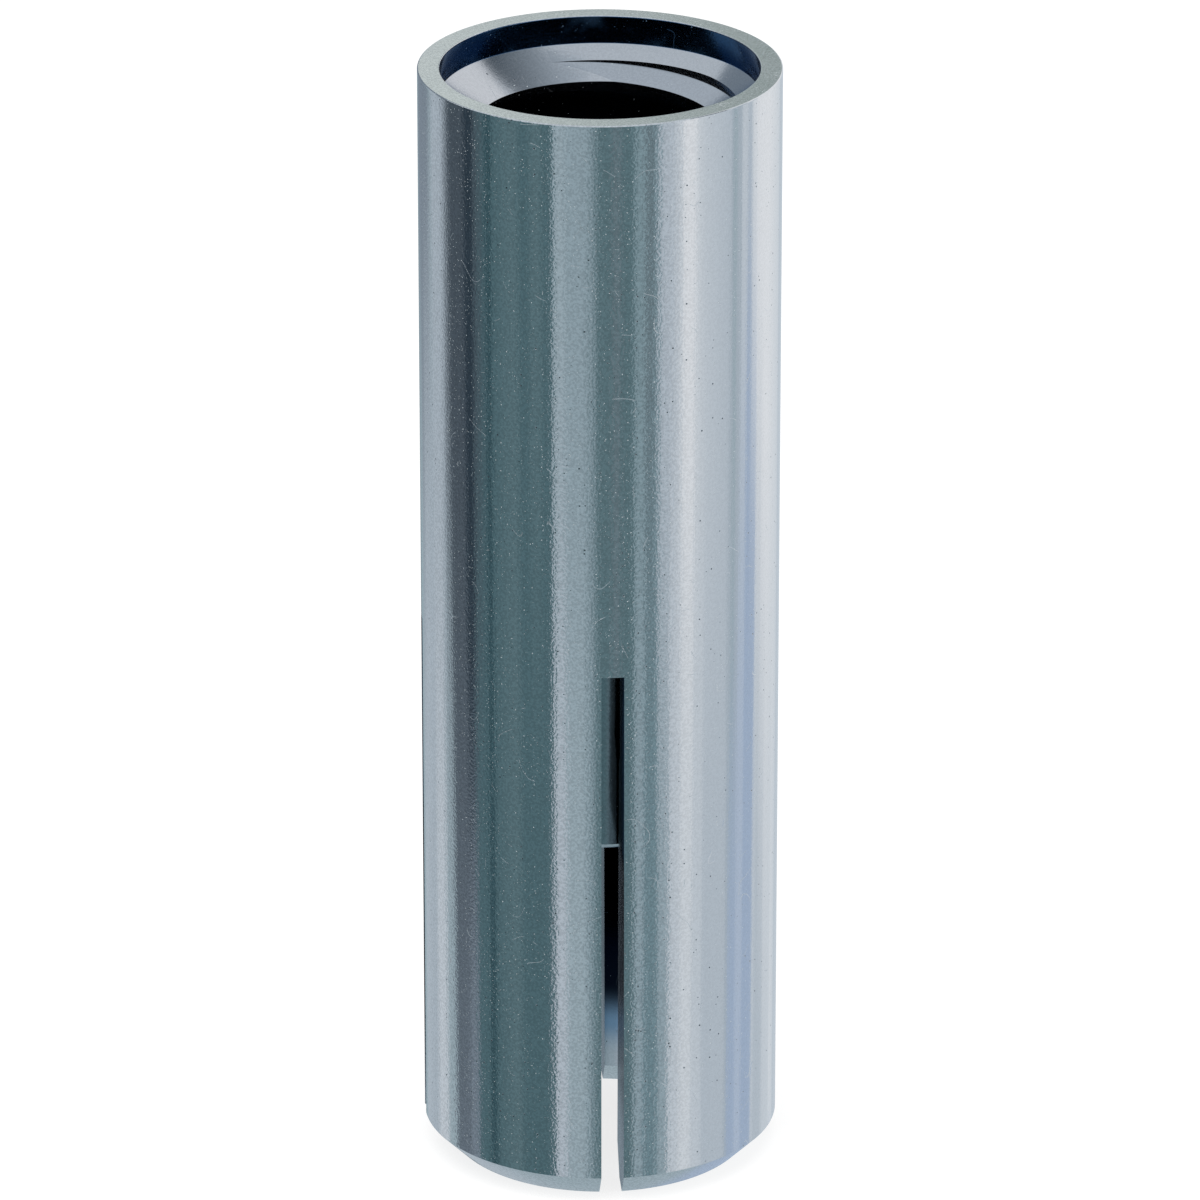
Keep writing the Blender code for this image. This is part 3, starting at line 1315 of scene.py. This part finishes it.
@dataclass
class Studio:
    """Camera, floor, lamps, world and the cards that the metal reflects."""

    camera_distance: float = 0.40279
    camera_pitch: float = math.radians(22.032)
    camera_turn: float = math.radians(4.07)
    aim_height: float = 25.86 * MM
    lens: float = 272.38
    sensor: float = 36.0
    sky_level: float = 0.6
    floor_size: float = 6.0
    floor_drop: float = 0.02 * MM
    floor_glow: float = 0.80
    floor_paint: float = 0.86
    floor_seen_paint: float = 0.25
    card_step: float = 2.0

    def build_camera(self) -> None:
        """Set the camera where the photograph was taken from."""
        level = self.camera_distance * math.cos(self.camera_pitch)
        aim = Vector((0.0, 0.0, self.aim_height))
        back = Vector((
            -level * math.sin(self.camera_turn),
            -level * math.cos(self.camera_turn),
            self.camera_distance * math.sin(self.camera_pitch),
        ))
        data = bpy.data.cameras.new("photo_camera")
        data.lens = self.lens
        data.sensor_width = self.sensor
        data.clip_start = 0.01
        data.clip_end = 20.0
        camera = add_object("photo_camera", data)
        camera.location = aim + back
        camera.rotation_euler = (-back).to_track_quat("-Z", "Y").to_euler()
        bpy.context.scene.camera = camera

    def build_world(self) -> None:
        """Light from all round at a plain level, behind a white background."""
        world = bpy.data.worlds.new("studio_world")
        graph = empty_graph(world)
        path = graph.add("ShaderNodeLightPath").outputs
        seen = graph.math("ADD", path["Is Camera Ray"], path["Is Glossy Ray"])
        seen = graph.math("ADD", seen, path["Is Transmission Ray"])
        level = graph.ramp(seen, 0.0, 1.0, self.sky_level, 1.0)
        sky = graph.add("ShaderNodeBackground", {"Color": (1.0, 1.0, 1.0, 1.0), "Strength": level})
        graph.add("ShaderNodeOutputWorld", {"Surface": sky.outputs[0]})
        bpy.context.scene.world = world

    def build_lamps(self) -> None:
        """Hang one wide soft lamp above and one at the side, both out of the reflections."""
        for name, place, size, power in (
            ("lamp_above", Vector((-0.2, -0.3, 1.1)), 1.2, 9.0),
            ("lamp_side", Vector((0.9, -0.6, 0.7)), 0.9, 4.0),
        ):
            data = bpy.data.lights.new(name, "AREA")
            data.shape = "DISK"
            data.size = size
            data.energy = power
            lamp = add_object(name, data)
            lamp.location = place
            lamp.rotation_euler = (-place).to_track_quat("-Z", "Y").to_euler()
            lamp.visible_camera = False
            lamp.visible_glossy = False

    def build_floor(self) -> None:
        """Lay a pale floor that keeps the anchor's shadow and is clear from below."""
        bm = bmesh.new()
        bmesh.ops.create_grid(bm, x_segments=2, y_segments=2, size=self.floor_size / 2.0)
        bmesh.ops.translate(bm, verts=bm.verts, vec=(0.0, 0.0, -self.floor_drop))
        mesh = keep_mesh("floor", bm)
        material = bpy.data.materials.new("pale_floor")
        graph = empty_graph(material)
        seen = graph.add("ShaderNodeLightPath").outputs["Is Camera Ray"]
        coat = graph.ramp(seen, 0.0, 1.0, self.floor_paint, self.floor_seen_paint)
        paint = graph.add(
            "ShaderNodeBsdfPrincipled",
            {
                "Base Color": graph.add("ShaderNodeCombineColor", {0: coat, 1: coat, 2: coat}).outputs[0],
                "Roughness": 1.0,
                "Specular IOR Level": 0.0,
                "Emission Color": (1.0, 1.0, 1.0, 1.0),
                "Emission Strength": graph.math("MULTIPLY", seen, self.floor_glow),
            },
        )
        clear = graph.add("ShaderNodeBsdfTransparent")
        side = graph.add("ShaderNodeNewGeometry").outputs["Backfacing"]
        surface = graph.add("ShaderNodeMixShader", {0: side, 1: paint.outputs[0], 2: clear.outputs[0]})
        graph.add("ShaderNodeOutputMaterial", {"Surface": surface.outputs[0]})
        mesh.materials.append(material)
        floor = add_object("floor", mesh)
        floor.visible_glossy = False

    def card_point(self, card: Card, azimuth: float, elevation: float) -> Vector:
        """Find the point of a card in a direction.

        Args:
            card: The card.
            azimuth: The direction's azimuth in degrees, counted as the card's own.
            elevation: Its elevation, likewise.

        Returns:
            The point.
        """
        turn = math.radians(azimuth) - self.camera_turn
        rise = math.radians(elevation)
        level = card.distance * math.cos(rise)
        height = card.centre_height + card.distance * math.sin(rise)
        return Vector((level * math.sin(turn), -level * math.cos(turn), height))

    def steps_across(self, ends: Span) -> list[float]:
        """Cut a range of degrees into equal steps of about card_step and return where they end."""
        count = max(1, round((ends[1] - ends[0]) / self.card_step))
        return [ends[0] + (ends[1] - ends[0]) * index / count for index in range(count + 1)]

    def add_card(self, bm: bmesh.types.BMesh, tones: bmesh.types.BMLayerItem, card: Card) -> None:
        """Add one card's faces to the cards' mesh, with its tones at their corners.

        Args:
            bm: The mesh of all cards.
            tones: The corner colour layer.
            card: The card to add.
        """
        azimuths = self.steps_across(card.azimuth)
        elevations = self.steps_across(card.elevation)
        last = len(azimuths) - 1
        for column in range(last):
            for low, high in zip(elevations, elevations[1:]):
                corners = ((column, low), (column + 1, low), (column + 1, high), (column, high))
                spots = [self.card_point(card, azimuths[index], elevation) for index, elevation in corners]
                face = bm.faces.new([bm.verts.new(spot) for spot in spots])
                for loop, (index, elevation) in zip(face.loops, corners):
                    loop[tones] = (*card.colour_at(index / last, elevation), 1.0)

    def build_cards(self) -> None:
        """Stand the cards round the anchor. Only its reflections see them."""
        bm = bmesh.new()
        tones = bm.loops.layers.float_color.new(TONE)
        for card in CARDS:
            self.add_card(bm, tones, card)
        mesh = keep_mesh("cards", bm)
        material = bpy.data.materials.new("card_tones")
        graph = empty_graph(material)
        tone = graph.add("ShaderNodeAttribute", attribute_name=TONE).outputs["Color"]
        glow = graph.add("ShaderNodeEmission", {"Color": tone, "Strength": 1.0})
        graph.add("ShaderNodeOutputMaterial", {"Surface": glow.outputs[0]})
        mesh.materials.append(material)
        cards = add_object("cards", mesh)
        for ray in ("camera", "diffuse", "transmission", "volume_scatter", "shadow"):
            setattr(cards, f"visible_{ray}", False)

    def build(self) -> None:
        """Build the whole studio."""
        self.build_camera()
        self.build_world()
        self.build_lamps()
        self.build_floor()
        self.build_cards()
        bpy.context.scene.view_settings.view_transform = "Standard"


def main() -> None:
    """Build the anchor's pieces and the studio, and report each piece."""
    logging.basicConfig(level=logging.INFO, format="%(name)s: %(message)s")
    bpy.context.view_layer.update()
    effects = SurfaceEffects()
    workshop = Workshop()
    looks = (OUTSIDE_ZINC, FACED_ZINC, RECESS_ZINC_PAINTED_SHADE, BORED_ZINC, TAPPED_ZINC, SAWN_ZINC, PLUG_STEEL)
    finishes = {look.name: look.build(effects) for look in looks}
    sleeve = Sleeve()
    plug = ExpanderPlug(sleeve)
    for part in (sleeve, plug):
        piece = part.build(workshop, finishes)
        LOG.info("%s: %d faces on body %s", piece.name, len(piece.data.polygons), BODY)
    Studio().build()


if __name__ == "__main__":
    main()
